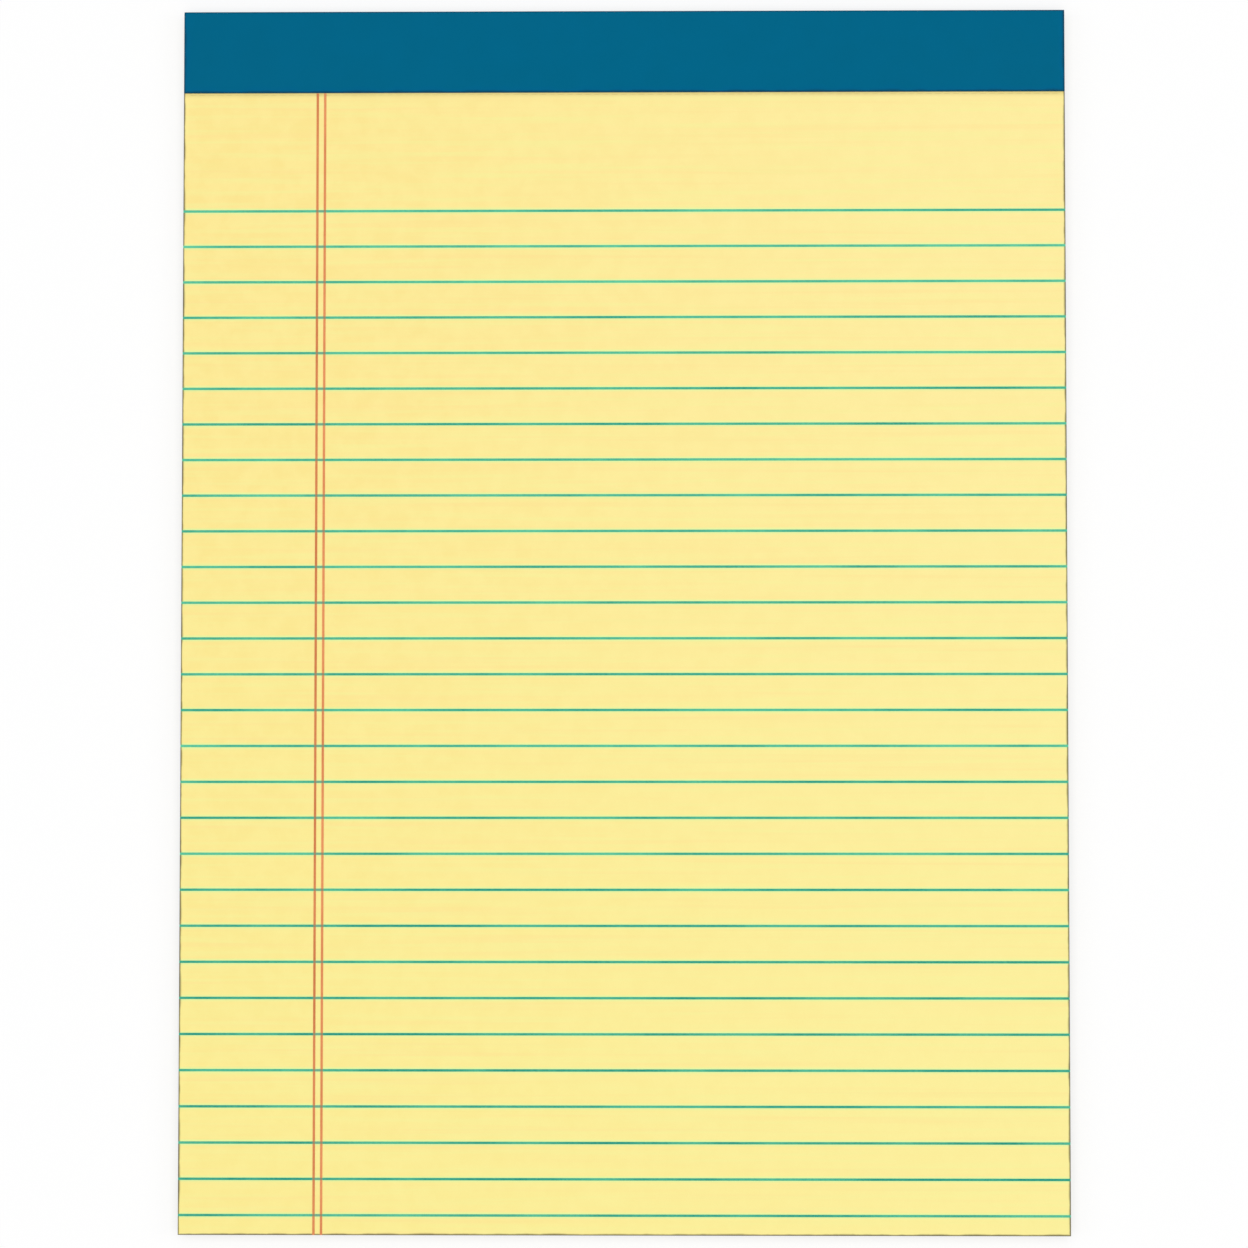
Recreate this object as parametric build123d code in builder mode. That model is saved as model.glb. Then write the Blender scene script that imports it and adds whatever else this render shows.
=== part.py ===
from build123d import *

import os

# Legal pad: ruled sheets on a backing board, wire-stitched at the head and bound by a folded tape.
# Frame: +X to the writer's right, +Y towards the bound head, +Z up out of the page.
# The origin is under the middle of the pad, on the surface that it lies on.

# Sheets and board, trimmed together
pad_width = 8.5 * IN
pad_length = 11.75 * IN
sheet_count = 50
sheet_thickness = 0.09
board_thickness = 1.0

# Binding tape, folded over the head and pressed a little into the paper and the board
tape_thickness = 0.2
tape_press = 0.08
tape_front_width = 20.0
tape_back_width = 22.0
tape_edge_clearance = 0.1
fold_radius = 0.5
fold_share_of_wall = 0.8

# Perforation that lets a sheet tear off below the tape
perforation_drop = 0.5
slit_length = 1.5
slit_tie = 0.7
slit_width = 0.04

# Flat-wire stitches: a straight back on the front, two legs, and tails clinched under the board
stitch_count = 2
stitch_side_inset = 54.0
stitch_head_inset = 9.0
stitch_span = 12.7
stitch_tail_gap = 3.6
wire_width = 0.8
wire_thickness = 0.5
wire_inner_bend = 0.35
wire_clearance = 0.03

# Ruling printed on the top sheet
first_rule_from_head = 49.2
rule_pitch = 0.34375 * IN
rule_width = 0.58
foot_clear_of_rules = 3.0
margin_from_side = 33.8
margin_pair_spacing = 1.83
margin_line_width = 0.58
ink_thickness = 0.04

# Heights, from the surface under the pad to the page
back_z = tape_thickness - tape_press
back_seat_z = back_z + tape_press
board_top_z = back_z + board_thickness
stack_thickness = sheet_count * sheet_thickness
page_z = board_top_z + stack_thickness
front_seat_z = page_z - tape_press

# Places along the pad, with the tape's fold counted in its length
foot_y = -(pad_length + tape_thickness) / 2
head_y = foot_y + pad_length
tape_front_edge_y = head_y - tape_front_width
tape_back_edge_y = head_y - tape_back_width
front_rebate_y = tape_front_edge_y - tape_edge_clearance
back_rebate_y = tape_back_edge_y - tape_edge_clearance
perforation_y = tape_front_edge_y - perforation_drop
stitch_y = head_y - stitch_head_inset
left_x = -pad_width / 2
margin_x = left_x + margin_from_side

# The fold follows the rounded head edges of the sheets and the board
front_fold_radius = min(fold_radius, fold_share_of_wall * (stack_thickness - tape_press))
back_fold_radius = min(fold_radius, fold_share_of_wall * (board_thickness - tape_press))

# Counts that follow from the sizes
slit_pitch = slit_length + slit_tie
slit_count = int((pad_width - slit_tie) / slit_pitch)
rule_count = int((pad_length - first_rule_from_head - foot_clear_of_rules) / rule_pitch) + 1
rules_mid_y = head_y - first_rule_from_head - (rule_count - 1) * rule_pitch / 2
stitch_spacing = (pad_width - 2 * stitch_side_inset) / max(stitch_count - 1, 1)

# A stitch is a flat ring pulled tight round the stub, with a gap between its two tails
stitch_plane = Plane.XZ.offset(-stitch_y)
stitch_room = front_seat_z - back_seat_z
stitch_mid_z = (front_seat_z + back_seat_z) / 2
stitch_height = stitch_room - 2 * wire_clearance
core_span = stitch_span - 2 * wire_thickness
core_height = stitch_height - 2 * wire_thickness
tail_z = back_seat_z + wire_clearance + wire_thickness / 2

# One wire stitch
with BuildPart() as stitch:
    with BuildSketch(stitch_plane):
        with Locations((0, stitch_mid_z)):
            RectangleRounded(stitch_span, stitch_height, wire_inner_bend + wire_thickness)
            RectangleRounded(core_span, core_height, wire_inner_bend, mode=Mode.SUBTRACT)
        with Locations((0, tail_z)):
            Rectangle(stitch_tail_gap, wire_thickness, mode=Mode.SUBTRACT)
    extrude(amount=wire_width / 2, both=True)

# Room that one stitch presses into the paper and the board, open under the tape at front and back
with BuildPart() as stitch_channel:
    with BuildSketch(stitch_plane):
        with Locations((0, stitch_mid_z)):
            Rectangle(stitch_span + 2 * wire_clearance, stitch_room)
            RectangleRounded(core_span, core_height, wire_inner_bend + wire_clearance, mode=Mode.SUBTRACT)
        with Locations((0, back_seat_z)):
            Rectangle(
                stitch_tail_gap - 2 * wire_clearance,
                wire_clearance + wire_thickness,
                align=(Align.CENTER, Align.MIN),
                mode=Mode.SUBTRACT,
            )
    extrude(amount=wire_width / 2 + wire_clearance, both=True)

# Row of slits right through the sheets and the ink on them
with BuildPart() as perforation:
    with BuildSketch(Plane.XY.offset(board_top_z)):
        with Locations((0, perforation_y)):
            with GridLocations(slit_pitch, 0, slit_count, 1):
                Rectangle(slit_length, slit_width)
    extrude(amount=stack_thickness + ink_thickness)

# Fifty sheets as one block, with the tape's rebate and a rounded head edge
with BuildPart() as ruled_sheets:
    with BuildSketch(Plane.YZ):
        with BuildLine():
            Polyline(
                (foot_y, board_top_z),
                (head_y, board_top_z),
                (head_y, front_seat_z),
                (front_rebate_y, front_seat_z),
                (front_rebate_y, page_z),
                (foot_y, page_z),
                close=True,
            )
        make_face()
        head_edge = vertices().group_by(Axis.X)[-1].sort_by(Axis.Y)[-1]
        fillet(head_edge, radius=front_fold_radius)
    extrude(amount=pad_width / 2, both=True)
    add(perforation.part, mode=Mode.SUBTRACT)
    with GridLocations(stitch_spacing, 0, stitch_count, 1):
        add(stitch_channel.part, mode=Mode.SUBTRACT)

# Chipboard back, with the tape's rebate underneath at the head
with BuildPart() as backing_board:
    with BuildSketch(Plane.YZ):
        with BuildLine():
            Polyline(
                (foot_y, back_z),
                (back_rebate_y, back_z),
                (back_rebate_y, back_seat_z),
                (head_y, back_seat_z),
                (head_y, board_top_z),
                (foot_y, board_top_z),
                close=True,
            )
        make_face()
        head_edge = vertices().group_by(Axis.X)[-1].sort_by(Axis.Y)[0]
        fillet(head_edge, radius=back_fold_radius)
    extrude(amount=pad_width / 2, both=True)
    with GridLocations(stitch_spacing, 0, stitch_count, 1):
        add(stitch_channel.part, mode=Mode.SUBTRACT)

# Binding tape, one strip folded round the head
with BuildPart() as binding_tape:
    with BuildSketch(Plane.YZ):
        with BuildLine():
            FilletPolyline(
                (tape_front_edge_y, front_seat_z),
                (head_y, front_seat_z),
                (head_y, back_seat_z),
                (tape_back_edge_y, back_seat_z),
                radius=(front_fold_radius, back_fold_radius),
            )
            offset(amount=tape_thickness, side=Side.LEFT)
        make_face()
    extrude(amount=pad_width / 2, both=True)

# Wire stitches in a row along the head
with BuildPart() as wire_stitches:
    with GridLocations(stitch_spacing, 0, stitch_count, 1):
        add(stitch.part)

# Double margin line down the left of the page, from the tape to the foot
with BuildPart() as margin_rules:
    with BuildSketch(Plane.XY.offset(page_z)):
        with Locations((margin_x, (front_rebate_y + foot_y) / 2)):
            with GridLocations(margin_pair_spacing, 0, 2, 1):
                Rectangle(margin_line_width, front_rebate_y - foot_y)
    extrude(amount=ink_thickness)
    add(perforation.part, mode=Mode.SUBTRACT)

# Writing rules across the page, broken where the margin lines cross them
with BuildPart() as blue_rules:
    with BuildSketch(Plane.XY.offset(page_z)):
        with Locations((0, rules_mid_y)):
            with GridLocations(0, rule_pitch, 1, rule_count):
                Rectangle(pad_width, rule_width)
        with Locations((margin_x, rules_mid_y)):
            with GridLocations(margin_pair_spacing, 0, 2, 1):
                Rectangle(margin_line_width, rule_count * rule_pitch, mode=Mode.SUBTRACT)
    extrude(amount=ink_thickness)

ruled_sheets.part.label = "ruled_sheets"
backing_board.part.label = "backing_board"
binding_tape.part.label = "binding_tape"
wire_stitches.part.label = "wire_stitches"
margin_rules.part.label = "margin_rules"
blue_rules.part.label = "blue_rules"

os.makedirs("parts", exist_ok=True)
export_step(ruled_sheets.part, "parts/ruled_sheets.step")
export_step(backing_board.part, "parts/backing_board.step")
export_step(binding_tape.part, "parts/binding_tape.step")
export_step(wire_stitches.part, "parts/wire_stitches.step")
export_step(margin_rules.part, "parts/margin_rules.step")
export_step(blue_rules.part, "parts/blue_rules.step")
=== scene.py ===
"""A ruled legal pad: loose canary sheets on a chipboard back, stitched and taped at the head."""

import logging
import math
import random
from collections.abc import Callable
from dataclasses import dataclass, field
from enum import Enum
from typing import Any, ClassVar

import bmesh
import bpy
from bpy.types import Material, Node, NodeSocket, NodeTree, Object, bpy_prop_collection
from mathutils import Euler, Matrix, Vector


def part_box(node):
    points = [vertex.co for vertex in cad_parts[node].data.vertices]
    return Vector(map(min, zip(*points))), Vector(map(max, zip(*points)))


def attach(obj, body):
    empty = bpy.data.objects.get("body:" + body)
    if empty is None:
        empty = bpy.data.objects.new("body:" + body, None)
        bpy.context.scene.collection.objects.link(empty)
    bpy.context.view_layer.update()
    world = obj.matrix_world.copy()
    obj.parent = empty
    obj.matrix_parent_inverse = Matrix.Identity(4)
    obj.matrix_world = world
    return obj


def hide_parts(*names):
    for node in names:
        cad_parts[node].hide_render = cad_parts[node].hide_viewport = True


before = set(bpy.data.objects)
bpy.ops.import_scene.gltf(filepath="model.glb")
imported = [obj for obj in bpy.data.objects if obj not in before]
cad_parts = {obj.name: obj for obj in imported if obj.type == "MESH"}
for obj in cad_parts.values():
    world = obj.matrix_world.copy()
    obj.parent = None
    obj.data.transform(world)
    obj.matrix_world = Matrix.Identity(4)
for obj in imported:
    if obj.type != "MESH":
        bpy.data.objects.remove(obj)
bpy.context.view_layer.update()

MM = 0.001
TINY = 0.001 * MM

# Sizes that the sheets and the tape share
TAPE_CLEARANCE = 0.1 * MM
FOLD_RADIUS = 0.5 * MM

# Spans of a noise's values, from nearly all of them to those round its middle
NOISE_WIDE = (0.25, 0.75)
NOISE_SPAN = (0.3, 0.7)
NOISE_CORE = (0.35, 0.65)

log = logging.getLogger("legal_pad")


@dataclass(frozen=True)
class Tint:
    """A colour as a display shows it, in steps from 0 to 255."""

    red: float
    green: float
    blue: float

    def linear(self) -> tuple[float, float, float, float]:
        """Turn the colour into the linear values that a shader takes.

        Returns:
            Red, green, blue and a full alpha.
        """
        values = []
        for step in (self.red, self.green, self.blue):
            share = step / 255
            values.append(share / 12.92 if share <= 0.04045 else ((share + 0.055) / 1.055) ** 2.4)
        return values[0], values[1], values[2], 1.0


class Graph:
    """A shader node tree, with short calls for the nodes that the finishes use most."""

    def __init__(self, tree: NodeTree) -> None:
        """Empty a tree and keep it."""
        self.tree = tree
        self.tree.nodes.clear()

    def feed(self, node: Node, feeds: dict[Any, Any]) -> None:
        """Set or join a node's inputs.

        Args:
            node: The node to feed.
            feeds: A socket to join, or a value or tint to set, for each input's name or number.
        """
        for name, value in feeds.items():
            if isinstance(value, NodeSocket):
                self.tree.links.new(value, node.inputs[name])
            else:
                node.inputs[name].default_value = value.linear() if isinstance(value, Tint) else value

    def add(self, kind: str, feeds: dict[Any, Any] | None = None, **settings: Any) -> Node:
        """Add a node, set it and feed it.

        Args:
            kind: The node's type.
            feeds: What goes into its inputs, by name or number.
            settings: The node's own properties.

        Returns:
            The new node.
        """
        node = self.tree.nodes.new(kind)
        for name, value in settings.items():
            setattr(node, name, value)
        self.feed(node, feeds or {})
        return node

    def place(self) -> NodeSocket:
        """Give the surface's place in the object's own frame, in metres."""
        return self.add("ShaderNodeTexCoord").outputs["Object"]

    def facing(self) -> list[NodeSocket]:
        """Give the X, Y and Z of the way that the surface faces."""
        return self.parts(self.add("ShaderNodeNewGeometry").outputs["Normal"])

    def flatness(self) -> NodeSocket:
        """Give 1 where the surface lies flat and 0 where it stands upright."""
        return self.maths("ABSOLUTE", self.facing()[2])

    def parts(self, vector: NodeSocket) -> list[NodeSocket]:
        """Split a vector into its X, Y and Z."""
        return list(self.add("ShaderNodeSeparateXYZ", {0: vector}).outputs)

    def maths(self, operation: str, first: Any, second: Any = 0.0) -> NodeSocket:
        """Work out one sum of two values.

        Args:
            operation: The sum, as the Math node names it.
            first: A value or the socket that gives it.
            second: A value or the socket that gives it.

        Returns:
            The result's socket.
        """
        return self.add("ShaderNodeMath", {0: first, 1: second}, operation=operation).outputs[0]

    def stretch(self, vector: NodeSocket, per_metre: tuple[float, float, float]) -> NodeSocket:
        """Scale a place by its own number of pattern steps a metre along each axis.

        Args:
            vector: The place to scale.
            per_metre: Pattern steps a metre along X, Y and Z.

        Returns:
            The scaled place.
        """
        feeds = {0: vector, 1: per_metre}
        return self.add("ShaderNodeVectorMath", feeds, operation="MULTIPLY").outputs[0]

    def noise(
        self, vector: NodeSocket, scale: Any = 1.0, detail: float = 3.0, fineness: float = 0.55
    ) -> NodeSocket:
        """Add a cloud noise between 0 and 1.

        Args:
            vector: The place to read the noise at.
            scale: Pattern steps in one unit of that place.
            detail: How many finer layers are added.
            fineness: How strong each finer layer is.

        Returns:
            The noise's value.
        """
        feeds = {"Vector": vector, "Scale": scale, "Detail": detail, "Roughness": fineness}
        return self.add("ShaderNodeTexNoise", feeds).outputs[0]

    def ramp(
        self, value: Any, low: Any, high: Any, start: float = 0.0, end: float = 1.0
    ) -> NodeSocket:
        """Ease a value from one level to another as it crosses a range.

        Args:
            value: What crosses the range.
            low: Where the range begins.
            high: Where the range ends.
            start: The level before the range.
            end: The level after the range.

        Returns:
            The eased level.
        """
        feeds = {0: value, 1: low, 2: high, 3: start, 4: end}
        return self.add("ShaderNodeMapRange", feeds, interpolation_type="SMOOTHSTEP").outputs[0]

    def blend(self, share: Any, first: Any, second: Any, mode: str = "MIX") -> NodeSocket:
        """Mix two colours.

        Args:
            share: How much of the second colour shows.
            first: A tint or the socket that gives a colour.
            second: A tint or the socket that gives a colour.
            mode: How they are mixed.

        Returns:
            The mixed colour.
        """
        feeds = {0: share, 6: first, 7: second}
        return self.add("ShaderNodeMix", feeds, data_type="RGBA", blend_type=mode).outputs[2]

    def bump(self, height: NodeSocket, depth: float, strength: float) -> NodeSocket:
        """Tilt the surface by a height.

        Args:
            height: The height, from 0 to 1.
            depth: What a height of 1 stands for, in metres.
            strength: How much of the tilt shows.

        Returns:
            The tilted normal.
        """
        feeds = {"Height": height, "Distance": depth, "Strength": strength}
        return self.add("ShaderNodeBump", feeds).outputs[0]


class Effect(Enum):
    """The effects that more than one finish uses, each a node group."""

    FIBRE = "paper_fibre"
    CUT_EDGE = "cut_edge"
    INK_LAY = "ink_lay"

    def group(self) -> NodeTree:
        """Give the effect's node group, which is built on its first use.

        Returns:
            The node group.
        """
        made = bpy.data.node_groups.get(self.value)
        if made is None:
            made = bpy.data.node_groups.new(self.value, "ShaderNodeTree")
            builders = {
                Effect.FIBRE: build_fibre,
                Effect.CUT_EDGE: build_cut_edge,
                Effect.INK_LAY: build_ink_lay,
            }
            builders[self](made)
        return made

    def use(self, graph: Graph, feeds: dict[str, Any]) -> bpy_prop_collection:
        """Put the effect into a finish.

        Args:
            graph: The finish's node tree.
            feeds: The effect's inputs by name.

        Returns:
            The effect's outputs.
        """
        return graph.add("ShaderNodeGroup", feeds, node_tree=self.group()).outputs


def open_group(
    tree: NodeTree, takes: list[str], gives: list[str]
) -> tuple[Graph, bpy_prop_collection, Node]:
    """Give a node group its sockets: a Vector first, then plain values.

    Args:
        tree: The new node group.
        takes: The names of the values that it takes, besides Vector.
        gives: The names of the values that it gives.

    Returns:
        The group's graph, the sockets that bring its inputs and the node that takes its outputs.
    """
    face = tree.interface
    face.new_socket("Vector", in_out="INPUT", socket_type="NodeSocketVector")
    for name in takes:
        face.new_socket(name, in_out="INPUT", socket_type="NodeSocketFloat")
    for name in gives:
        face.new_socket(name, in_out="OUTPUT", socket_type="NodeSocketFloat")
    graph = Graph(tree)
    return graph, graph.add("NodeGroupInput").outputs, graph.add("NodeGroupOutput")


def build_fibre(
    tree: NodeTree, curl: float = 1.6, grain_finer: float = 2.7, strand_share: float = 0.65
) -> None:
    """Build the look of felted fibres: broad clouds, single fibres and a surface height.

    Args:
        tree: The node group to fill.
        curl: How far the fibres bend.
        grain_finer: How many times finer the grain is than the fibres.
        strand_share: How much of the height the fibres make, with the grain for the rest.
    """
    graph, take, give = open_group(tree, ["Cloud Scale", "Fibre Scale"], ["Cloud", "Fibre", "Height"])
    place, fine = take["Vector"], take["Fibre Scale"]
    cloud = graph.noise(place, take["Cloud Scale"], detail=4.0)
    strand_feeds = {"Vector": place, "Scale": fine, "Detail": 2.0, "Distortion": curl}
    strand = graph.add("ShaderNodeTexNoise", strand_feeds).outputs[0]
    grain = graph.noise(place, graph.maths("MULTIPLY", fine, grain_finer), detail=2.0)
    height = graph.maths(
        "ADD",
        graph.maths("MULTIPLY", strand, strand_share),
        graph.maths("MULTIPLY", grain, 1.0 - strand_share),
    )
    graph.feed(
        give,
        {
            "Cloud": graph.ramp(cloud, *NOISE_SPAN),
            "Fibre": graph.ramp(strand, *NOISE_SPAN),
            "Height": height,
        },
    )


def build_cut_edge(
    tree: NodeTree, waves: float = 160.0, narrow: float = 0.7, broad: float = 1.25
) -> None:
    """Build the mask of a trimmed edge, 1 at the sides and the foot and 0 a little way in.

    Args:
        tree: The node group to fill.
        waves: How many times a metre the band grows and shrinks.
        narrow: The share of the band that shows where it is narrowest.
        broad: The share of the band that shows where it is broadest.
    """
    graph, take, give = open_group(tree, ["Half Width", "Foot", "Band"], ["Mask"])
    x, y, _ = graph.parts(take["Vector"])
    from_side = graph.maths("SUBTRACT", take["Half Width"], graph.maths("ABSOLUTE", x))
    from_foot = graph.maths("SUBTRACT", y, take["Foot"])
    nearest = graph.maths("MINIMUM", from_side, from_foot)
    pattern = graph.noise(take["Vector"], waves, detail=4.0)
    uneven = graph.ramp(pattern, *NOISE_SPAN, narrow, broad)
    band = graph.maths("MULTIPLY", take["Band"], uneven)
    graph.feed(give, {"Mask": graph.ramp(nearest, 0.0, band, 1.0, 0.0)})


def build_ink_lay(tree: NodeTree) -> None:
    """Build how evenly ink lies along a printed line: broad density and fine speckle.

    Args:
        tree: The node group to fill.
    """
    tree.interface.new_socket("Place", in_out="INPUT", socket_type="NodeSocketVector")
    graph, take, give = open_group(tree, ["Speckle Scale"], ["Density", "Speckle"])
    density = graph.noise(take["Vector"], detail=3.0)
    speckle = graph.noise(take["Place"], take["Speckle Scale"], detail=2.0)
    graph.feed(
        give,
        {"Density": graph.ramp(density, *NOISE_SPAN), "Speckle": graph.ramp(speckle, *NOISE_CORE)},
    )


def new_surface(name: str) -> tuple[Material, Graph, Node]:
    """Start a material with one surface shader.

    Args:
        name: The material's name.

    Returns:
        The material, its graph and its shader node.
    """
    material = bpy.data.materials.new(name)
    material.use_nodes = True
    graph = Graph(material.node_tree)
    shader = graph.add("ShaderNodeBsdfPrincipled")
    graph.add("ShaderNodeOutputMaterial", {"Surface": shader.outputs[0]})
    return material, graph, shader


@dataclass(frozen=True)
class Touch:
    """How a finish takes light: its roughness from smooth to rough, its shine and its tooth."""

    smooth: float
    rough: float
    shine: float
    tooth: float
    tooth_share: float

    def give(
        self, graph: Graph, shader: Node, colour: NodeSocket, grain: NodeSocket, height: NodeSocket
    ) -> None:
        """Feed a finish's shader.

        Args:
            graph: The finish's graph.
            shader: Its shader node.
            colour: Its colour.
            grain: Where it is rougher, from 0 to 1.
            height: How high its surface stands, from 0 to 1.
        """
        graph.feed(
            shader,
            {
                "Base Color": colour,
                "Roughness": graph.ramp(grain, 0.0, 1.0, self.smooth, self.rough),
                "Specular IOR Level": self.shine,
                "Normal": graph.bump(height, self.tooth, self.tooth_share),
            },
        )


@dataclass(frozen=True)
class Patches:
    """Streaks or flecks of a second colour: their steps a metre, where they set in and their share."""

    tint: Tint
    per_metre: tuple[float, float, float]
    sets_in: float
    full: float
    share: float
    detail: float = 2.0

    def mask(self, graph: Graph, place: NodeSocket) -> NodeSocket:
        """Give how much of the patches shows.

        Args:
            graph: The finish's graph.
            place: The surface's place.

        Returns:
            The share, from 0 between the patches to their full share.
        """
        pattern = graph.noise(graph.stretch(place, self.per_metre), detail=self.detail)
        return graph.ramp(pattern, self.sets_in, self.full, 0.0, self.share)

    def over(self, graph: Graph, place: NodeSocket, colour: NodeSocket) -> NodeSocket:
        """Lay the patches over a colour.

        Args:
            graph: The finish's graph.
            place: The surface's place.
            colour: The finish's colour so far.

        Returns:
            The patched colour.
        """
        return graph.blend(self.mask(graph, place), colour, self.tint)


@dataclass(frozen=True)
class LineRow:
    """A row of evenly spaced printed lines, and how far their marks reach to both sides."""

    first: float
    reach: float
    pitch: float
    count: int
    softness: float = 0.2

    def mask(self, graph: Graph, along: NodeSocket) -> NodeSocket:
        """Mark the lines on a surface that they cross.

        Args:
            graph: The finish's graph.
            along: The place along the row.

        Returns:
            1 on a line and 0 away from it.
        """
        inner, outer = self.reach * (1.0 - self.softness), self.reach * (1.0 + self.softness)
        past = graph.maths("SUBTRACT", self.first, along)
        near = graph.maths("PINGPONG", past, self.pitch / 2)
        met = graph.ramp(near, inner, outer, 1.0, 0.0)
        begun = graph.maths("GREATER_THAN", past, -self.pitch / 2)
        open_still = graph.maths("LESS_THAN", past, (self.count - 0.5) * self.pitch)
        return graph.maths("MULTIPLY", met, graph.maths("MULTIPLY", begun, open_still))


@dataclass(frozen=True)
class CanaryPaper:
    """Matt yellow writing paper, tinted beside its rules, with a painted sheen to its right, painted
    shade along its trimmed border and a painted shadow below the tape.
    """

    half_width: float
    foot: float
    tape_edge: float
    bled_rules: LineRow
    pale: Tint = Tint(254, 235, 152)
    deep: Tint = Tint(252, 230, 145)
    cloud_scale: float = 210.0
    fibre_scale: float = 2600.0
    fibre_share: float = 0.15
    # Painted sheen: the paper turns paler towards its right side, standing in for light falling there
    painted_sheen: Tint = Tint(255, 241, 170)
    painted_sheen_share: float = 0.5
    lemon: Tint = Tint(249, 244, 148)
    lemon_share: float = 0.35
    lemon_from: float = 100.0 * MM
    warm_streaks: Patches = Patches(
        Tint(254, 226, 148), per_metre=(9.0, 560.0, 1.0), sets_in=0.48, full=0.75, share=0.4
    )
    cool_streaks: Patches = Patches(
        Tint(247, 243, 158), per_metre=(20.4, 646.0, 1.7), sets_in=0.42, full=0.72, share=0.4
    )
    bled: Tint = Tint(203, 255, 175)
    bled_share: float = 0.56
    # Painted shadow: a darker, warmer band on the paper just below the tape's edge
    painted_tape_shadow: Tint = Tint(226, 207, 132)
    tape_shadow_start: float = 0.1 * MM
    tape_shadow_reach: float = 1.5 * MM
    tape_shadow_share: float = 0.95
    tape_shadow_waves: float = 40.0
    tape_shadow_least: float = 0.6
    # Painted shade: this dark tint along the page's sides and foot stands in for the shade at its edge
    trimmed: Tint = Tint(80, 74, 58)
    edge_band: float = 0.6 * MM
    cut: Tint = Tint(232, 225, 204)
    touch: Touch = Touch(smooth=0.84, rough=0.95, shine=0.2, tooth=0.012 * MM, tooth_share=0.5)

    def material(self) -> Material:
        """Make the paper's material.

        Returns:
            The material.
        """
        material, graph, shader = new_surface("canary_paper")
        place = graph.place()
        x, y, _ = graph.parts(place)
        scales = {"Cloud Scale": self.cloud_scale, "Fibre Scale": self.fibre_scale}
        fibre = Effect.FIBRE.use(graph, {"Vector": place, **scales})
        colour = graph.blend(fibre["Cloud"], self.pale, self.deep)
        # Painted sheen, growing from the left side to the right
        sheen_ramp = graph.ramp(x, -self.half_width, self.half_width, 0.0, self.painted_sheen_share)
        colour = graph.blend(sheen_ramp, colour, self.painted_sheen)
        lower = graph.ramp(y, self.lemon_from, self.foot, 0.0, self.lemon_share)
        colour = graph.blend(lower, colour, self.lemon)
        colour = self.warm_streaks.over(graph, place, colour)
        colour = self.cool_streaks.over(graph, place, colour)
        strands = graph.maths("MULTIPLY", fibre["Fibre"], self.fibre_share)
        colour = graph.blend(strands, colour, self.deep)
        beside = graph.maths("MULTIPLY", self.bled_rules.mask(graph, y), graph.flatness())
        colour = graph.blend(graph.maths("MULTIPLY", beside, self.bled_share), colour, self.bled)
        colour = self._with_tape_shadow(graph, place, colour)
        colour = self._with_cut_edges(graph, place, colour)
        self.touch.give(graph, shader, colour, fibre["Fibre"], fibre["Height"])
        return material

    def _with_tape_shadow(self, graph: Graph, place: NodeSocket, colour: NodeSocket) -> NodeSocket:
        """Paint a shadow on the paper in a band just below the tape's edge.

        Args:
            graph: The material's graph.
            place: The surface's place.
            colour: The paper's colour so far.

        Returns:
            The colour with its painted shadow.
        """
        # Painted shadow below the tape, uneven along its length
        below = graph.maths("SUBTRACT", self.tape_edge, graph.parts(place)[1])
        tape_shadow_band = graph.ramp(below, self.tape_shadow_start, self.tape_shadow_reach, self.tape_shadow_share, 0.0)
        waves = graph.noise(place, self.tape_shadow_waves, detail=4.0)
        uneven = graph.ramp(waves, *NOISE_WIDE, self.tape_shadow_least, 1.0)
        return graph.blend(graph.maths("MULTIPLY", tape_shadow_band, uneven), colour, self.painted_tape_shadow)

    def _with_cut_edges(self, graph: Graph, place: NodeSocket, colour: NodeSocket) -> NodeSocket:
        """Paint shade along the page's trimmed border and give each sheet's edge its own tone.

        Args:
            graph: The material's graph.
            place: The surface's place.
            colour: The paper's colour so far.

        Returns:
            The colour with its edges.
        """
        sides = {"Vector": place, "Half Width": self.half_width, "Foot": self.foot}
        edge = Effect.CUT_EDGE.use(graph, {**sides, "Band": self.edge_band})
        flat = graph.flatness()
        # Painted shade on the flat faces along the sides and the foot
        colour = graph.blend(graph.maths("MULTIPLY", edge["Mask"], flat), colour, self.trimmed)
        tone = graph.add("ShaderNodeAttribute", attribute_name=SheetStack.TONE).outputs["Fac"]
        side = graph.maths("MULTIPLY", graph.maths("SUBTRACT", 1.0, flat), tone)
        return graph.blend(side, colour, self.cut, "MULTIPLY")


class RunsAlong(Enum):
    """Which way a printed line runs over the page, with its pattern steps a metre on each axis."""

    ACROSS = (48.0, 115.0, 1.0)
    DOWN = (550.0, 40.0, 1.0)


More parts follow.
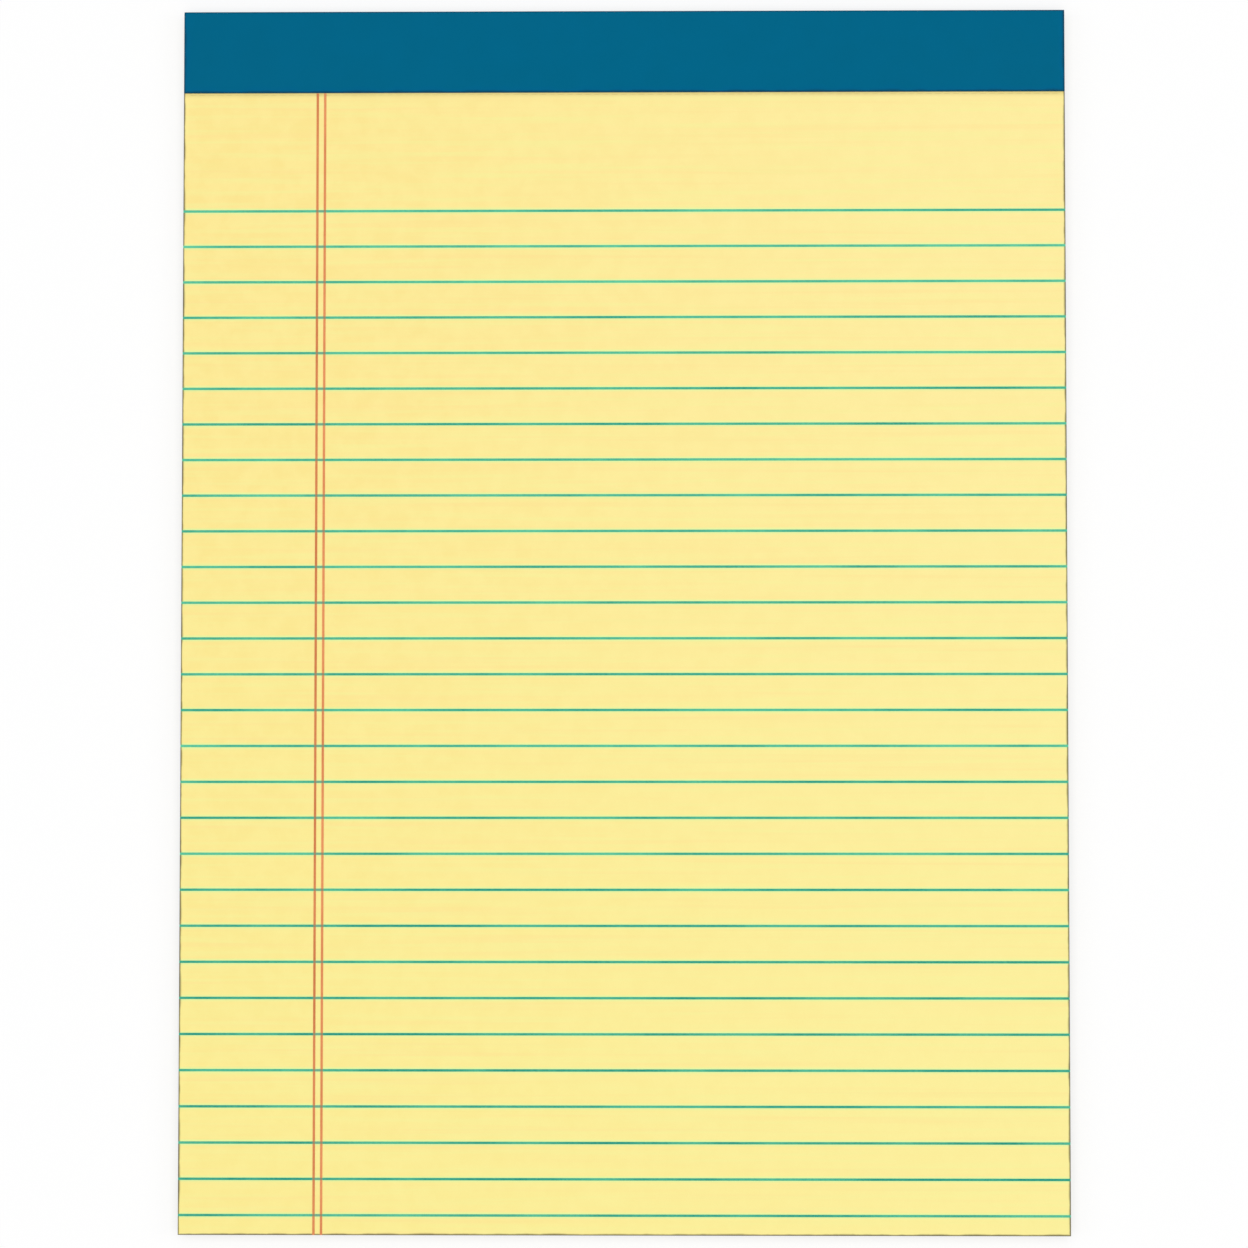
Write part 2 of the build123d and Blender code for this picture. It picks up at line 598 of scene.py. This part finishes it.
@dataclass(frozen=True)
class PrintedInk:
    """Ink that has sunk into the paper, with its uneven lay and its overprinted crossings."""

    name: str
    runs: RunsAlong
    dense: Tint
    thin: Tint
    crossed: Tint
    crossings: LineRow
    dense_side: float
    thin_side: float
    least_share: float = 0.06
    side_share: float = 0.22
    line_share: float = 0.15
    lay_share: float = 0.55
    speckle_share: float = 0.2
    speckle_scale: float = 2200.0
    lines_per_metre: float = 300.0
    touch: Touch = Touch(smooth=0.72, rough=0.88, shine=0.15, tooth=0.008 * MM, tooth_share=0.4)

    def material(self) -> Material:
        """Make the ink's material.

        Returns:
            The material.
        """
        material, graph, shader = new_surface(self.name)
        place = graph.place()
        x, y, _ = graph.parts(place)
        along, across = (y, x) if self.runs is RunsAlong.DOWN else (x, y)
        stretched = graph.stretch(place, self.runs.value)
        lay = Effect.INK_LAY.use(
            graph, {"Vector": stretched, "Place": place, "Speckle Scale": self.speckle_scale}
        )
        most_share = self.least_share + self.side_share
        share = graph.ramp(across, self.dense_side, self.thin_side, self.least_share, most_share)
        for more in (
            self._line_share(graph, across),
            graph.maths("MULTIPLY", lay["Density"], self.lay_share),
            graph.maths("MULTIPLY", lay["Speckle"], self.speckle_share),
        ):
            share = graph.maths("ADD", share, more)
        colour = graph.blend(share, self.dense, self.thin)
        colour = graph.blend(self.crossings.mask(graph, along), colour, self.crossed)
        self.touch.give(graph, shader, colour, lay["Speckle"], lay["Speckle"])
        return material

    def _line_share(self, graph: Graph, across: NodeSocket) -> NodeSocket:
        """Give each line a weight of its own.

        Args:
            graph: The ink's graph.
            across: The place across the lines.

        Returns:
            How much thinner the line's ink is, below 0 where it is denser.
        """
        step = graph.maths("MULTIPLY", across, self.lines_per_metre)
        feeds = {"W": step, "Scale": 1.0, "Detail": 2.0}
        weight = graph.add("ShaderNodeTexNoise", feeds, noise_dimensions="1D").outputs[0]
        return graph.ramp(weight, *NOISE_SPAN, -self.line_share, self.line_share)


@dataclass(frozen=True)
class CoatedTape:
    """Satin blue paper tape, a little bluer at its borders, with painted shade along its cut edges and
    round its folds.
    """

    half_width: float
    front_edge: float
    back_edge: float
    coat: Tint = Tint(0, 101, 136)
    deep: Tint = Tint(0, 100, 134)
    cloud_scale: float = 140.0
    fibre_scale: float = 1900.0
    border: Tint = Tint(0, 98, 145)
    border_band: float = 1.8 * MM
    border_share: float = 0.7
    # Painted shade: the tape's cut edges and its folds are darkened with this tint
    cut: Tint = Tint(15, 68, 90)
    edge_shade_band: float = 0.8 * MM
    front_turn: float = 0.5
    bend_from: float = 0.25
    bend_full: float = 0.5
    fold_shade_share: float = 0.65
    touch: Touch = Touch(smooth=0.46, rough=0.6, shine=0.02, tooth=0.014 * MM, tooth_share=0.3)

    def material(self) -> Material:
        """Make the tape's material.

        Returns:
            The material.
        """
        material, graph, shader = new_surface("blue_tape")
        place = graph.place()
        _, out, up = graph.facing()
        scales = {"Cloud Scale": self.cloud_scale, "Fibre Scale": self.fibre_scale}
        fibre = Effect.FIBRE.use(graph, {"Vector": place, **scales})
        colour = graph.blend(fibre["Cloud"], self.coat, self.deep)
        own_edge = graph.ramp(up, -self.front_turn, self.front_turn, self.back_edge, self.front_edge)
        sides = {"Vector": place, "Half Width": self.half_width, "Foot": own_edge}
        border = Effect.CUT_EDGE.use(graph, {**sides, "Band": self.border_band})
        bluer = graph.maths("MULTIPLY", border["Mask"], self.border_share)
        colour = graph.blend(bluer, colour, self.border)
        # Painted shade along the cut edges and round the folds, where the surface turns
        edge = Effect.CUT_EDGE.use(graph, {**sides, "Band": self.edge_shade_band})
        bend = graph.maths("ABSOLUTE", graph.maths("MULTIPLY", out, up))
        fold = graph.ramp(bend, self.bend_from, self.bend_full, 0.0, self.fold_shade_share)
        colour = graph.blend(graph.maths("MAXIMUM", edge["Mask"], fold), colour, self.cut)
        self.touch.give(graph, shader, colour, fibre["Fibre"], fibre["Height"])
        return material


@dataclass(frozen=True)
class GreyChipboard:
    """Recycled board: grey-brown pulp with dark and pale flecks, and plies at its cut edges."""

    half_width: float
    foot: float
    pale: Tint = Tint(165, 156, 139)
    deep: Tint = Tint(154, 145, 128)
    cloud_scale: float = 260.0
    fibre_scale: float = 1400.0
    fibre_share: float = 0.3
    dark_flecks: Patches = Patches(
        Tint(96, 88, 76), (340.0, 900.0, 900.0), sets_in=0.64, full=0.72, share=0.6, detail=1.0
    )
    pale_flecks: Patches = Patches(
        Tint(198, 190, 174), (1040.0, 546.0, 1040.0), sets_in=0.64, full=0.73, share=0.5, detail=1.0
    )
    plies: Patches = Patches(
        Tint(96, 88, 76), per_metre=(60.0, 60.0, 5200.0), sets_in=0.4, full=0.65, share=0.5
    )
    edge_band: float = 0.8 * MM
    edge_share: float = 0.25
    touch: Touch = Touch(smooth=0.8, rough=0.94, shine=0.25, tooth=0.05 * MM, tooth_share=0.6)

    def material(self) -> Material:
        """Make the board's material.

        Returns:
            The material.
        """
        material, graph, shader = new_surface("chipboard")
        place = graph.place()
        scales = {"Cloud Scale": self.cloud_scale, "Fibre Scale": self.fibre_scale}
        fibre = Effect.FIBRE.use(graph, {"Vector": place, **scales})
        colour = graph.blend(fibre["Cloud"], self.pale, self.deep)
        strands = graph.maths("MULTIPLY", fibre["Fibre"], self.fibre_share)
        colour = graph.blend(strands, colour, self.deep)
        colour = self.dark_flecks.over(graph, place, colour)
        colour = self.pale_flecks.over(graph, place, colour)
        upright = graph.maths("SUBTRACT", 1.0, graph.flatness())
        layered = graph.maths("MULTIPLY", self.plies.mask(graph, place), upright)
        colour = graph.blend(layered, colour, self.plies.tint)
        sides = {"Vector": place, "Half Width": self.half_width, "Foot": self.foot}
        edge = Effect.CUT_EDGE.use(graph, {**sides, "Band": self.edge_band})
        worn = graph.maths("MULTIPLY", edge["Mask"], self.edge_share)
        colour = graph.blend(worn, colour, self.pale_flecks.tint)
        self.touch.give(graph, shader, colour, fibre["Fibre"], fibre["Height"])
        return material


@dataclass(frozen=True)
class GalvanisedWire:
    """Bright flat stitching wire with drawing marks along it."""

    bright: Tint = Tint(206, 208, 210)
    dull: Tint = Tint(168, 171, 174)
    spangle_scale: float = 1500.0
    marks_per_metre: tuple[float, float, float] = (300.0, 9000.0, 9000.0)
    smooth: float = 0.26
    rough: float = 0.45
    mark_depth: float = 0.01 * MM
    mark_share: float = 0.4

    def material(self) -> Material:
        """Make the wire's material.

        Returns:
            The material.
        """
        material, graph, shader = new_surface("stitching_wire")
        place = graph.place()
        spangle = graph.ramp(graph.noise(place, self.spangle_scale), *NOISE_CORE)
        marks = graph.noise(graph.stretch(place, self.marks_per_metre), detail=2.0)
        graph.feed(
            shader,
            {
                "Base Color": graph.blend(spangle, self.bright, self.dull),
                "Metallic": 1.0,
                "Roughness": graph.ramp(marks, *NOISE_SPAN, self.smooth, self.rough),
                "Normal": graph.bump(marks, self.mark_depth, self.mark_share),
            },
        )
        return material


def deselect() -> None:
    """Leave edit mode and let go of every object."""
    if bpy.context.object is not None and bpy.context.object.mode != "OBJECT":
        bpy.ops.object.mode_set(mode="OBJECT")
    bpy.ops.object.select_all(action="DESELECT")


def make_active(piece: Object) -> None:
    """Select one object alone and make it the active one.

    Args:
        piece: The object.
    """
    deselect()
    piece.select_set(True)
    bpy.context.view_layer.objects.active = piece


def add_block(name: str, low: tuple[float, float, float], high: tuple[float, float, float]) -> Object:
    """Add a cube that fills a box.

    Args:
        name: The new object's name.
        low: The box's lowest corner.
        high: The box's highest corner.

    Returns:
        The block, with its size and place in its mesh.
    """
    deselect()
    middle = [(a + b) / 2 for a, b in zip(low, high)]
    size = [b - a for a, b in zip(low, high)]
    bpy.ops.mesh.primitive_cube_add(size=1.0, location=middle, scale=size)
    block = bpy.context.object
    block.name = name
    bpy.ops.object.transform_apply(location=True, rotation=True, scale=True)
    return block


def join(pieces: list[Object], name: str) -> Object:
    """Join objects into the first one.

    Args:
        pieces: The objects to join.
        name: The joined object's name.

    Returns:
        The joined object.
    """
    make_active(pieces[0])
    for piece in pieces:
        piece.select_set(True)
    if len(pieces) > 1:
        bpy.ops.object.join()
    pieces[0].name = name
    return pieces[0]


def subtract(piece: Object, cutter: Object) -> None:
    """Cut one object out of another and drop the cutter.

    Args:
        piece: The object that is cut.
        cutter: The object that is taken away.
    """
    make_active(piece)
    modifier = piece.modifiers.new("cut", "BOOLEAN")
    modifier.operation = "DIFFERENCE"
    modifier.solver = "EXACT"
    modifier.object = cutter
    bpy.ops.object.modifier_apply(modifier=modifier.name)
    bpy.data.objects.remove(cutter)


def select_where(piece: Object, test: Callable[[Vector], bool]) -> None:
    """Select a mesh's points by their place, in edit mode, with the edges and faces between them.

    Args:
        piece: The object in edit mode.
        test: Says whether a point is selected.
    """
    mesh = bmesh.from_edit_mesh(piece.data)
    mesh.select_mode = {"VERT"}
    for vertex in mesh.verts:
        vertex.select = test(vertex.co)
    mesh.select_flush_mode()
    bmesh.update_edit_mesh(piece.data)


def dress(piece: Object, material: Material) -> None:
    """Give an object one material all over."""
    piece.data.materials.clear()
    piece.data.materials.append(material)


def report(piece: Object) -> None:
    """Say how large a finished piece's mesh is."""
    triangles = sum(len(face.vertices) - 2 for face in piece.data.polygons)
    log.info("%s: %d triangles, %s", piece.name, triangles, piece.data.materials[0].name)


class StitchCut(Enum):
    """How a stitch passes through a sheet."""

    LEGS = "legs"
    BEND = "bend"
    BACK = "back"


@dataclass
class SheetStack:
    """Fifty loose sheets, each slit below the tape, pierced by the stitches and trimmed a hair apart."""

    TONE: ClassVar[str] = "sheet_tone"

    sheet_count: int = 50
    paper_share: float = 0.9
    tape_press: float = 0.08 * MM
    perforation_drop: float = 0.5 * MM
    slit_length: float = 1.5 * MM
    slit_tie: float = 0.7 * MM
    slit_width: float = 0.04 * MM
    slit_margin: float = 0.3 * MM
    stitch_span: float = 12.7 * MM
    wire_thickness: float = 0.5 * MM
    wire_bend: float = 0.35 * MM
    wire_clearance: float = 0.03 * MM
    trim_scatter: float = 0.05 * MM
    trim_limit: float = 0.16 * MM
    pattern_height: float = 1.0 * MM
    seed: int = 29
    low: Vector = field(default_factory=lambda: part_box("ruled_sheets")[0])
    high: Vector = field(default_factory=lambda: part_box("ruled_sheets")[1])

    def __post_init__(self) -> None:
        """Work out the places that follow from the frame."""
        wire_low, wire_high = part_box("wire_stitches")
        self.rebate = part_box("margin_rules")[1].y
        self.tape_edge = self.rebate + TAPE_CLEARANCE
        self.stitch_y = (wire_low.y + wire_high.y) / 2
        self.stitch_half = (wire_high.y - wire_low.y) / 2 + self.wire_clearance
        self.stitch_outer = wire_high.x + self.wire_clearance
        self.stitch_inner = wire_high.x - self.stitch_span - self.wire_clearance
        self.groove = wire_high.z - self.wire_thickness
        self.stack = self.high.z - self.low.z
        self.stub_share = (self.stack - self.tape_press) / self.stack
        self.chance = random.Random(self.seed)

    def finish(self) -> CanaryPaper:
        """Give the paper, fitted to the pad's sides, foot, tape and ruling."""
        return CanaryPaper(self.high.x, self.low.y, self.tape_edge, PrintedRuling().bled_row())

    def build(self) -> list[Object]:
        """Cut the pattern sheets, lay all the sheets and dress them.

        Returns:
            The stack and the sheet on top of it, in place of the sheets' plain block.
        """
        patterns = {cut: self._pattern(cut) for cut in StitchCut}
        sheets = [self._lay(patterns, index) for index in range(self.sheet_count)]
        for pattern in patterns.values():
            bpy.data.objects.remove(pattern)
        pieces = [join(sheets[:-1], "sheet_stack"), join(sheets[-1:], "top_sheet")]
        paper = self.finish().material()
        for piece in pieces:
            dress(piece, paper)
            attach(piece, "root")
            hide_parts("ruled_sheets")
        return pieces

    def _pattern(self, cut: StitchCut) -> Object:
        """Model one thick flat sheet with its slits and the holes for the stitches.

        Args:
            cut: How the stitches pass through it.

        Returns:
            The pattern that sheets are copied from.
        """
        sheet = add_block(
            f"pattern_{cut.value}",
            (self.low.x, self.low.y, 0.0),
            (self.high.x, self.high.y, self.pattern_height),
        )
        slit_y = self.tape_edge - self.perforation_drop
        bpy.ops.object.mode_set(mode="EDIT")
        for y in (
            slit_y - self.slit_margin,
            slit_y + self.slit_margin,
            self.rebate,
            self.tape_edge,
            self.stitch_y - 2 * self.stitch_half,
            self.stitch_y + 2 * self.stitch_half,
        ):
            bpy.ops.mesh.select_all(action="SELECT")
            bpy.ops.mesh.bisect(plane_co=(0.0, y, 0.0), plane_no=(0.0, 1.0, 0.0))
        bpy.ops.object.mode_set(mode="OBJECT")
        subtract(sheet, join([self._slit_row(slit_y), *self._stitch_holes(cut)], "cutter"))
        return sheet

    def _slit_row(self, slit_y: float) -> Object:
        """Model one slit's cutter and repeat it across the pad.

        Args:
            slit_y: Where the row lies along the pad.

        Returns:
            The cutter of the whole row.
        """
        pitch = self.slit_length + self.slit_tie
        count = int((self.high.x - self.low.x - self.slit_tie) / pitch)
        first = -(count - 1) * pitch / 2
        row = add_block(
            "slits",
            (first - self.slit_length / 2, slit_y - self.slit_width / 2, -self.pattern_height),
            (first + self.slit_length / 2, slit_y + self.slit_width / 2, 2 * self.pattern_height),
        )
        repeat = row.modifiers.new("repeat", "ARRAY")
        repeat.count = count
        repeat.use_relative_offset = False
        repeat.use_constant_offset = True
        repeat.constant_offset_displace = (pitch, 0.0, 0.0)
        bpy.ops.object.modifier_apply(modifier=repeat.name)
        return row

    def _stitch_holes(self, cut: StitchCut) -> list[Object]:
        """Model the cutters of both stitches in one sheet.

        Args:
            cut: How the stitches pass through the sheet.

        Returns:
            The cutters.
        """
        hole = self.wire_thickness + 2 * self.wire_clearance
        if cut is StitchCut.BEND:
            hole += self.wire_bend
        spans = [
            (self.stitch_inner, self.stitch_inner + hole),
            (self.stitch_outer - hole, self.stitch_outer),
        ]
        if cut is StitchCut.BACK:
            spans = [(self.stitch_inner, self.stitch_outer)]
        spans += [(-far, -near) for near, far in spans]
        return [
            add_block(
                "hole",
                (start, self.stitch_y - self.stitch_half, -self.pattern_height),
                (end, self.stitch_y + self.stitch_half, 2 * self.pattern_height),
            )
            for start, end in spans
        ]

    def _lay(self, patterns: dict[StitchCut, Object], index: int) -> Object:
        """Copy a pattern sheet to its height in the stack, with its own trim and tone.

        Args:
            patterns: The pattern sheets.
            index: The sheet's number, from the board up.

        Returns:
            The laid sheet.
        """
        pitch = self.stack / self.sheet_count
        page_top = (index + 1) * pitch
        page_bottom = page_top - pitch * self.paper_share
        stub_top = self.low.z + page_top * self.stub_share
        cut = StitchCut.LEGS
        if stub_top > self.groove + TINY:
            cut = StitchCut.BACK
        elif stub_top > self.groove - self.wire_bend:
            cut = StitchCut.BEND
        sheet = bpy.data.objects.new(f"sheet_{index:02d}", patterns[cut].data.copy())
        bpy.context.scene.collection.objects.link(sheet)
        left, right, foot = (self._trim(index) for _ in range(3))
        head = self._head_trim(stub_top)
        for vertex in sheet.data.vertices:
            x, y, z = vertex.co
            height = page_top if z > self.pattern_height / 2 else page_bottom
            height *= self.stub_share if y > self.rebate + TINY else 1.0
            if x < self.low.x + TINY:
                x += left
            elif x > self.high.x - TINY:
                x -= right
            if y < self.low.y + TINY:
                y += foot
            elif y > self.high.y - TINY:
                y -= head
            vertex.co = (x, y, self.low.z + height)
        tone = sheet.data.attributes.new(self.TONE, "FLOAT", "FACE")
        tone.data.foreach_set("value", [self.chance.random()] * len(sheet.data.polygons))
        return sheet

    def _trim(self, index: int) -> float:
        """Give how far a sheet's edge stops short of the pad's outline; the top sheet's doesn't."""
        short = min(abs(self.chance.gauss(0.0, self.trim_scatter)), self.trim_limit)
        return 0.0 if index == self.sheet_count - 1 else short

    def _head_trim(self, stub_top: float) -> float:
        """Give how far a sheet's head edge draws back to follow the tape's rounded fold.

        Args:
            stub_top: The sheet's upper face under the tape.

        Returns:
            The distance from the pad's head.
        """
        centre = self.low.z + self.stack * self.stub_share - FOLD_RADIUS
        rise = min(max(stub_top - centre, 0.0), FOLD_RADIUS)
        return FOLD_RADIUS - math.sqrt(FOLD_RADIUS**2 - rise**2)


@dataclass
class FoldedTape:
    """One strip of tape folded round the head of the pad."""

    thickness: float = 0.2 * MM
    fold_steps: int = 10
    eased: float = 0.03 * MM
    ease_steps: int = 2
    ease_from: float = math.radians(60)
    smooth_below: float = math.radians(35)
    front_edge: float = field(default_factory=lambda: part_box("margin_rules")[1].y + TAPE_CLEARANCE)
    low: Vector = field(default_factory=lambda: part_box("binding_tape")[0])
    high: Vector = field(default_factory=lambda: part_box("binding_tape")[1])

    def build(self) -> Object:
        """Fold the strip from the front edge round to the back edge, then give it its thickness.

        Returns:
            The tape, in place of its plain solid.
        """
        bend = FOLD_RADIUS + self.thickness
        fold_y = self.high.y - bend
        deselect()
        middle = (0.0, (self.front_edge + fold_y) / 2, self.high.z)
        size = (self.high.x - self.low.x, fold_y - self.front_edge, 1.0)
        bpy.ops.mesh.primitive_plane_add(size=1.0, location=middle)
        tape = bpy.context.object
        tape.name = "folded_tape"
        bpy.ops.transform.resize(value=size)
        bpy.ops.object.transform_apply(location=True, rotation=True, scale=True)
        bpy.ops.object.mode_set(mode="EDIT")
        select_where(tape, lambda at: at.y > fold_y - TINY)
        self._fold(fold_y, self.high.z - bend)
        wall = self.high.z - self.low.z - 2 * bend
        bpy.ops.mesh.extrude_region_move(TRANSFORM_OT_translate={"value": (0.0, 0.0, -wall)})
        self._fold(fold_y, self.low.z + bend)
        back = fold_y - self.low.y
        bpy.ops.mesh.extrude_region_move(TRANSFORM_OT_translate={"value": (0.0, -back, 0.0)})
        bpy.ops.mesh.select_all(action="SELECT")
        bpy.ops.mesh.remove_doubles(threshold=TINY)
        bpy.ops.mesh.normals_make_consistent(inside=False)
        bpy.ops.object.mode_set(mode="OBJECT")
        self._thicken(tape)
        dress(tape, CoatedTape(self.high.x, self.front_edge, self.low.y).material())
        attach(tape, "root")
        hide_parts("binding_tape")
        return tape

    def _fold(self, y: float, z: float) -> None:
        """Spin the selected edge through a right angle, from facing up towards facing down.

        Args:
            y: The fold's middle along the pad.
            z: The fold's middle in height.
        """
        bpy.ops.mesh.spin(
            steps=self.fold_steps, angle=math.pi / 2, center=(0.0, y, z), axis=(1.0, 0.0, 0.0)
        )

    def _thicken(self, tape: Object) -> None:
        """Give the folded strip its thickness, inwards, and ease its cut edges.

        Args:
            tape: The folded strip.
        """
        wall = tape.modifiers.new("wall", "SOLIDIFY")
        wall.thickness = self.thickness
        wall.offset = -1.0
        wall.use_even_offset = True
        bpy.ops.object.modifier_apply(modifier=wall.name)
        ease = tape.modifiers.new("ease", "BEVEL")
        ease.width = self.eased
        ease.segments = self.ease_steps
        ease.limit_method = "ANGLE"
        ease.angle_limit = self.ease_from
        bpy.ops.object.modifier_apply(modifier=ease.name)
        bpy.ops.object.shade_smooth_by_angle(angle=self.smooth_below)


@dataclass
class PrintedRuling:
    """The writing rules and the double margin line that are printed on the top sheet."""

    rule_count: int = 29
    rule_pitch: float = 8.73125 * MM
    rule_width: float = 0.58 * MM
    pair_room: float = 24.1 * MM
    bleed_reach: float = 0.6 * MM
    bleed_softness: float = 0.7

    def rule_row(self, reach: float, softness: float = 0.2) -> LineRow:
        """Give where the rules lie along the page.

        Args:
            reach: How far a mark reaches on both sides of a rule's middle.
            softness: How gently the mark ends, as a share of its reach.

        Returns:
            The row of rules.
        """
        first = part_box("blue_rules")[1].y - self.rule_width / 2
        return LineRow(first, reach, self.rule_pitch, self.rule_count, softness)

    def bled_row(self) -> LineRow:
        """Give where the rules' ink tints the paper beside them."""
        return self.rule_row(self.bleed_reach, self.bleed_softness)

    def dress(self) -> list[Object]:
        """Ink the rules and the margin lines.

        Returns:
            The inked nodes.
        """
        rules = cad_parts["blue_rules"]
        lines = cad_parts["margin_rules"]
        line_low, line_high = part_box("margin_rules")
        rule_low, rule_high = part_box("blue_rules")
        pair_middle = (line_low.x + line_high.x) / 2
        pair_reach = (line_high.x - line_low.x) / 2
        blue = PrintedInk(
            name="blue_ink",
            runs=RunsAlong.ACROSS,
            dense=Tint(24, 145, 127),
            thin=Tint(98, 203, 161),
            crossed=Tint(112, 172, 142),
            crossings=LineRow(pair_middle, pair_reach, self.pair_room, count=1),
            dense_side=rule_low.y,
            thin_side=rule_high.y,
        )
        red = PrintedInk(
            name="red_ink",
            runs=RunsAlong.DOWN,
            dense=Tint(206, 122, 74),
            thin=Tint(236, 152, 100),
            crossed=Tint(146, 140, 106),
            crossings=self.rule_row(self.rule_width / 2),
            dense_side=line_low.x,
            thin_side=line_high.x,
        )
        dress(rules, blue.material())
        dress(lines, red.material())
        return [rules, lines]


@dataclass
class BoundBack:
    """The chipboard back and the wire stitches that hold the sheets to it."""

    low: Vector = field(default_factory=lambda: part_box("backing_board")[0])
    high: Vector = field(default_factory=lambda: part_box("backing_board")[1])

    def dress(self) -> list[Object]:
        """Give the board its pulp and the wire its metal.

        Returns:
            The dressed nodes.
        """
        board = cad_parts["backing_board"]
        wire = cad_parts["wire_stitches"]
        dress(board, GreyChipboard(self.high.x, self.low.y).material())
        dress(wire, GalvanisedWire().material())
        return [board, wire]


def looking(at: Vector, aim: Vector) -> Euler:
    """Turn a lamp or a camera to look at a point, with the pad's head upwards.

    Args:
        at: Where it stands.
        aim: The point that it looks at.

    Returns:
        Its turn.
    """
    back = (at - aim).normalized()
    right = Vector((0.0, 1.0, 0.0)).cross(back).normalized()
    return Matrix((right, back.cross(right), back)).transposed().to_euler()


def grey(level: float) -> tuple[float, float, float, float]:
    """Give a plain grey as a shader takes it, white at a level of 1."""
    return level, level, level, 1.0


@dataclass(frozen=True)
class Softbox:
    """A square soft lamp beside the copy table."""

    name: str
    stands: tuple[float, float, float]
    side: float
    level: float

    def hang(self) -> None:
        """Hang the lamp and aim it at the middle of the pad."""
        at = Vector(self.stands)
        lamp = bpy.data.lights.new(self.name, "AREA")
        lamp.shape = "SQUARE"
        lamp.size = self.side
        lamp.energy = self.level * math.pi**2 * at.length_squared * at.length / at.z
        box = bpy.data.objects.new(self.name, lamp)
        box.location = at
        box.rotation_euler = looking(at, Vector())
        bpy.context.scene.collection.objects.link(box)


@dataclass
class CopyTable:
    """A white table, four soft lamps, an even sky and a camera that looks down on the page."""

    table_side: float = 12.0
    table_level: float = 0.98
    sky_level: float = 0.46
    shadow_share: float = 0.16
    white: float = 1.0
    contact_shadow_reach: float = 3.0 * MM
    contact_shadow_depth: float = 0.25
    lens: float = 106.6
    sensor: float = 36.0
    camera_off: tuple[float, float, float] = (12.14 * MM, -43.12 * MM, 898.88 * MM)
    aim_off: tuple[float, float, float] = (0.08 * MM, -1.27 * MM, 0.0)
    lamps: tuple[Softbox, ...] = (
        Softbox("left_softbox", (-0.95, 0.0, 1.0), side=0.7, level=0.157),
        Softbox("right_softbox", (0.95, 0.0, 1.0), side=0.7, level=0.175),
        Softbox("foot_softbox", (0.0, -0.95, 1.0), side=0.7, level=0.127),
        Softbox("head_softbox", (0.0, 0.95, 1.0), side=0.7, level=0.127),
    )

    def build(self) -> None:
        """Lay the table, light it and set the camera."""
        bpy.context.scene.view_settings.view_transform = "Standard"
        self._table()
        self._sky()
        for lamp in self.lamps:
            lamp.hang()
        self._camera()

    def _seen_directly(self, graph: Graph) -> NodeSocket:
        """Give 1 for what the camera, a reflection or a clear piece shows, and 0 for light.

        Args:
            graph: The material's or the world's graph.

        Returns:
            The share.
        """
        path = graph.add("ShaderNodeLightPath").outputs
        seen = graph.maths("MAXIMUM", path["Is Camera Ray"], path["Is Glossy Ray"])
        return graph.maths("MAXIMUM", seen, path["Is Transmission Ray"])

    def _mix(self, graph: Graph, share: Any, first: Node, second: Node) -> Node:
        """Mix two shader nodes by a share of the second."""
        feeds = {0: share, 1: first.outputs[0], 2: second.outputs[0]}
        return graph.add("ShaderNodeMixShader", feeds)

    def _table(self) -> None:
        """Lay a white table top that keeps a soft shadow, with a painted contact shadow close to the
        pad.
        """
        deselect()
        bpy.ops.mesh.primitive_plane_add(size=self.table_side)
        table = bpy.context.object
        table.name = "table"
        material = bpy.data.materials.new("white_table")
        material.use_nodes = True
        graph = Graph(material.node_tree)
        cloth = graph.add("ShaderNodeBsdfDiffuse", {"Color": grey(self.table_level)})
        # Painted contact shadow: ambient occlusion darkens the table's glow close to the pad
        reach = {"Distance": self.contact_shadow_reach}
        open_sky = graph.add("ShaderNodeAmbientOcclusion", reach).outputs["AO"]
        levels = {0: open_sky, 1: 0.0, 2: 1.0, 3: self.white - self.contact_shadow_depth, 4: self.white}
        level = graph.add("ShaderNodeMapRange", levels).outputs[0]
        glow = graph.add("ShaderNodeEmission", {"Color": grey(1.0), "Strength": level})
        shown = self._mix(graph, self.shadow_share, glow, cloth)
        top = self._mix(graph, self._seen_directly(graph), cloth, shown)
        graph.add("ShaderNodeOutputMaterial", {"Surface": top.outputs[0]})
        dress(table, material)

    def _sky(self) -> None:
        """Set an even soft sky, which shows as white."""
        world = bpy.data.worlds.new("studio")
        world.use_nodes = True
        bpy.context.scene.world = world
        graph = Graph(world.node_tree)
        light = graph.add("ShaderNodeBackground", {"Color": grey(1.0), "Strength": self.sky_level})
        shown = graph.add("ShaderNodeBackground", {"Color": grey(1.0), "Strength": self.white})
        sky = self._mix(graph, self._seen_directly(graph), light, shown)
        graph.add("ShaderNodeOutputWorld", {"Surface": sky.outputs[0]})

    def _camera(self) -> None:
        """Set the camera over the page, a little towards the foot."""
        low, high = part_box("ruled_sheets")
        page = Vector(((low.x + high.x) / 2, (low.y + high.y) / 2, high.z))
        at = page + Vector(self.camera_off)
        aim = page + Vector(self.aim_off)
        lens = bpy.data.cameras.new("copy_camera")
        lens.lens = self.lens
        lens.sensor_width = self.sensor
        camera = bpy.data.objects.new("copy_camera", lens)
        camera.location = at
        camera.rotation_euler = looking(at, aim)
        bpy.context.scene.collection.objects.link(camera)
        bpy.context.scene.camera = camera


def main() -> None:
    """Build and dress the pad from the board up, then set the table."""
    logging.basicConfig(level=logging.INFO, format="%(name)s: %(message)s")
    pieces = BoundBack().dress()
    pieces += SheetStack().build()
    pieces += PrintedRuling().dress()
    pieces.append(FoldedTape().build())
    for piece in pieces:
        report(piece)
    CopyTable().build()


if __name__ == "__main__":
    main()
